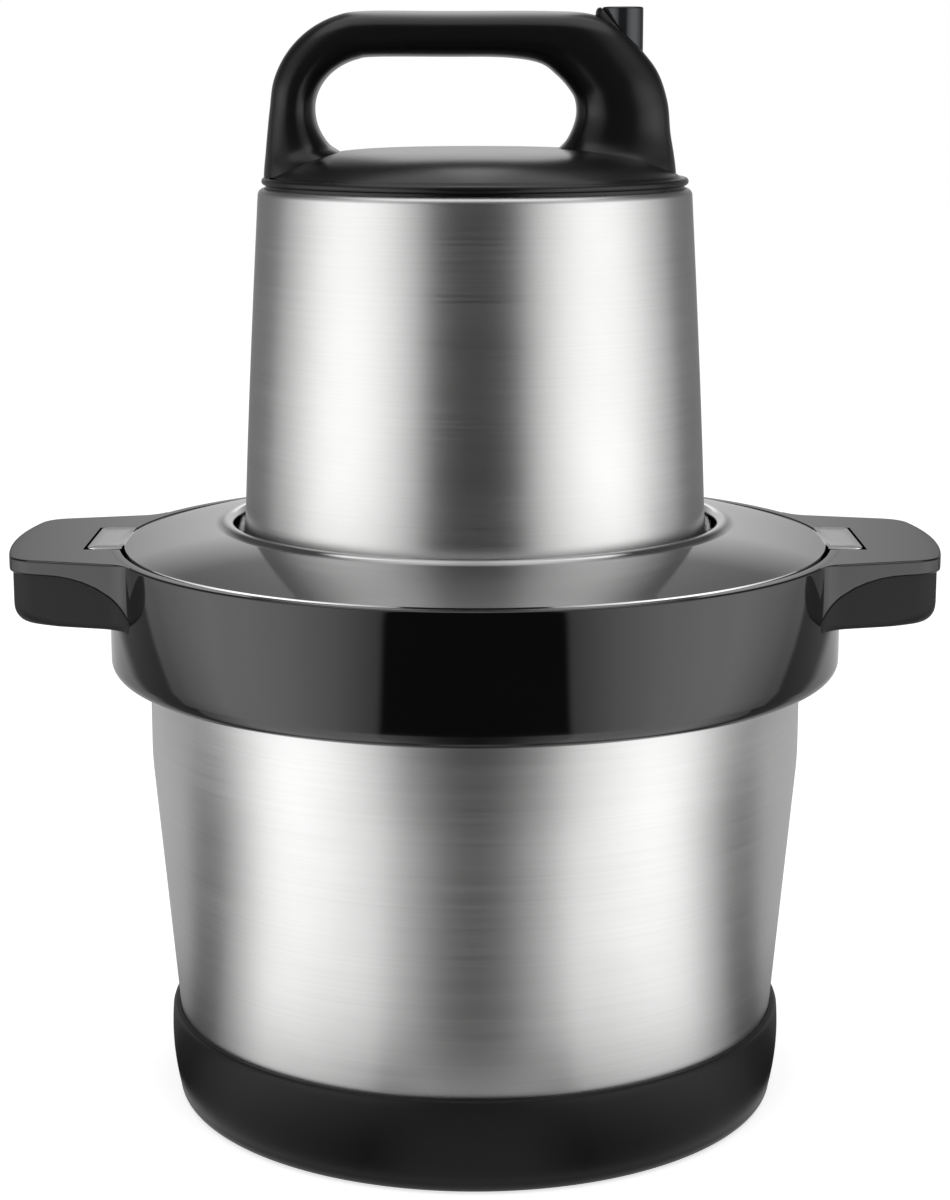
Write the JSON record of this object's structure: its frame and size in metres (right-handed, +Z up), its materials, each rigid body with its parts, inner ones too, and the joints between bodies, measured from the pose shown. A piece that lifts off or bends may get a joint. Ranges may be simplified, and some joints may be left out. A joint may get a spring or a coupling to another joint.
{
  "type": "electric yam pounder",
  "caption": "Electric yam pounder: steel bowl on a rubber foot in a black collar with side handles, domed lid, and a lift-off motor head with carry handle and push button.",
  "frame": {"origin": "centre of the rubber foot, on the plane that the machine stands on", "axes": "+Z up along the drive axis, +X towards the side handle under the push button, -Y towards the viewer of the picture"},
  "size_m": [0.325, 0.257, 0.384],
  "materials": {
    "foot_rubber": "matte black moulded rubber",
    "brushed_steel": "brushed round the axis",
    "polished_steel": "bright polished stainless steel",
    "turned_steel": "turned steel",
    "zinc_steel": "zinc plated fastener",
    "gloss_black": "glossy black moulding",
    "matte_black": "fine matt black moulding",
    "satin_black": "satin black moulding",
    "dark_grey": "dark grey glossy button",
    "hub_plastic": "food-safe off-white moulding",
    "seal_silicone": "soft silicone",
    "bush_brass": "turned",
    "seal_rubber": "oil seal",
    "bearing_steel": "ground bearing steel",
    "cast_aluminium": "die cast",
    "gear_plastic": "nylon gear",
    "lamination": "oiled steel laminations",
    "copper": "enamelled copper wire",
    "carbon": "carbon",
    "fan_plastic": "moulded fan",
    "switch_red": "switch body"
  },
  "bodies": {
    "bowl_unit": {"base_ring": "foot_rubber", "bowl": "brushed_steel", "bowl_spindle": "turned_steel", "spindle_nut": "zinc_steel", "collar": "gloss_black", "handle_cover_left": "matte_black", "handle_cover_right": "matte_black", "cover_screws": "zinc_steel"},
    "blade_set": {"blade_hub": "hub_plastic", "hub_bushes": "bush_brass", "upper_blades": "turned_steel", "blade_spacer": "hub_plastic", "lower_blades": "turned_steel", "blade_nut": "hub_plastic"},
    "lid": {"lid_dish": "polished_steel", "lid_seal": "seal_silicone"},
    "motor_head": {"motor_sleeve": "brushed_steel", "motor_base": "matte_black", "base_screws": "zinc_steel", "top_cap": "satin_black", "cap_screws": "zinc_steel", "handle_front_shell": "satin_black", "handle_rear_shell": "satin_black", "handle_screws": "zinc_steel", "cord_inlet": "foot_rubber", "micro_switch": "switch_red", "button_spring": "zinc_steel", "output_bearing": "bearing_steel", "output_seal": "seal_rubber", "ring_gear": "cast_aluminium", "lower_bracket": "cast_aluminium", "lower_bearing": "bearing_steel", "stator_core": "lamination", "field_coils": "copper", "upper_bracket": "cast_aluminium", "upper_bearing": "bearing_steel", "motor_bolts": "zinc_steel", "brush_holders": "bush_brass", "carbon_brushes": "carbon"},
    "button": {"push_button": "dark_grey", "switch_plunger": "hub_plastic"},
    "rotor": {"rotor_shaft": "turned_steel", "armature_core": "lamination", "armature_windings": "copper", "commutator": "copper", "cooling_fan": "fan_plastic"},
    "carrier": {"planet_carrier": "turned_steel", "drive_coupling": "turned_steel"},
    "planet_1": {"planet_gear_1": "gear_plastic"},
    "planet_2": {"planet_gear_2": "gear_plastic"},
    "planet_3": {"planet_gear_3": "gear_plastic"}
  },
  "joints": [
    {"name": "blade_spin", "type": "hinge", "parent": "bowl_unit", "child": "blade_set", "pos_m": [0, 0, 0.1], "axis": [0, 0, 1], "continuous": true},
    {"name": "lid_lift", "type": "slide", "parent": "bowl_unit", "child": "lid", "axis": [0, 0, 1], "range_m": [0, 0.06]},
    {"name": "head_lift", "type": "slide", "parent": "lid", "child": "motor_head", "axis": [0, 0, 1], "range_m": [0, 0.065]},
    {"name": "button_press", "type": "slide", "parent": "motor_head", "child": "button", "axis": [0, 0, -1], "range_m": [0, 0.004], "stiffness_N_per_m": 500, "springref_m": -0.003, "deforming": ["button_spring"]},
    {"name": "rotor_spin", "type": "hinge", "parent": "motor_head", "child": "rotor", "pos_m": [0, 0, 0.25], "axis": [0, 0, 1], "continuous": true},
    {"name": "carrier_spin", "type": "hinge", "parent": "motor_head", "child": "carrier", "pos_m": [0, 0, 0.2], "axis": [0, 0, 1], "continuous": true},
    {"name": "planet_1_spin", "type": "hinge", "parent": "carrier", "child": "planet_1", "pos_m": [0.0195, 0, 0.2042], "axis": [0, 0, 1], "continuous": true},
    {"name": "planet_2_spin", "type": "hinge", "parent": "carrier", "child": "planet_2", "pos_m": [-0.00975, 0.01689, 0.2042], "axis": [0, 0, 1], "continuous": true},
    {"name": "planet_3_spin", "type": "hinge", "parent": "carrier", "child": "planet_3", "pos_m": [-0.00975, -0.01689, 0.2042], "axis": [0, 0, 1], "continuous": true}
  ],
  "couplings": [
    {"joint": "carrier_spin", "follows": "rotor_spin", "ratio": 0.19231},
    {"joint": "blade_spin", "follows": "rotor_spin", "ratio": 0.19231},
    {"joint": "planet_1_spin", "follows": "rotor_spin", "ratio": -0.50481},
    {"joint": "planet_2_spin", "follows": "rotor_spin", "ratio": -0.50481},
    {"joint": "planet_3_spin", "follows": "rotor_spin", "ratio": -0.50481}
  ]
}
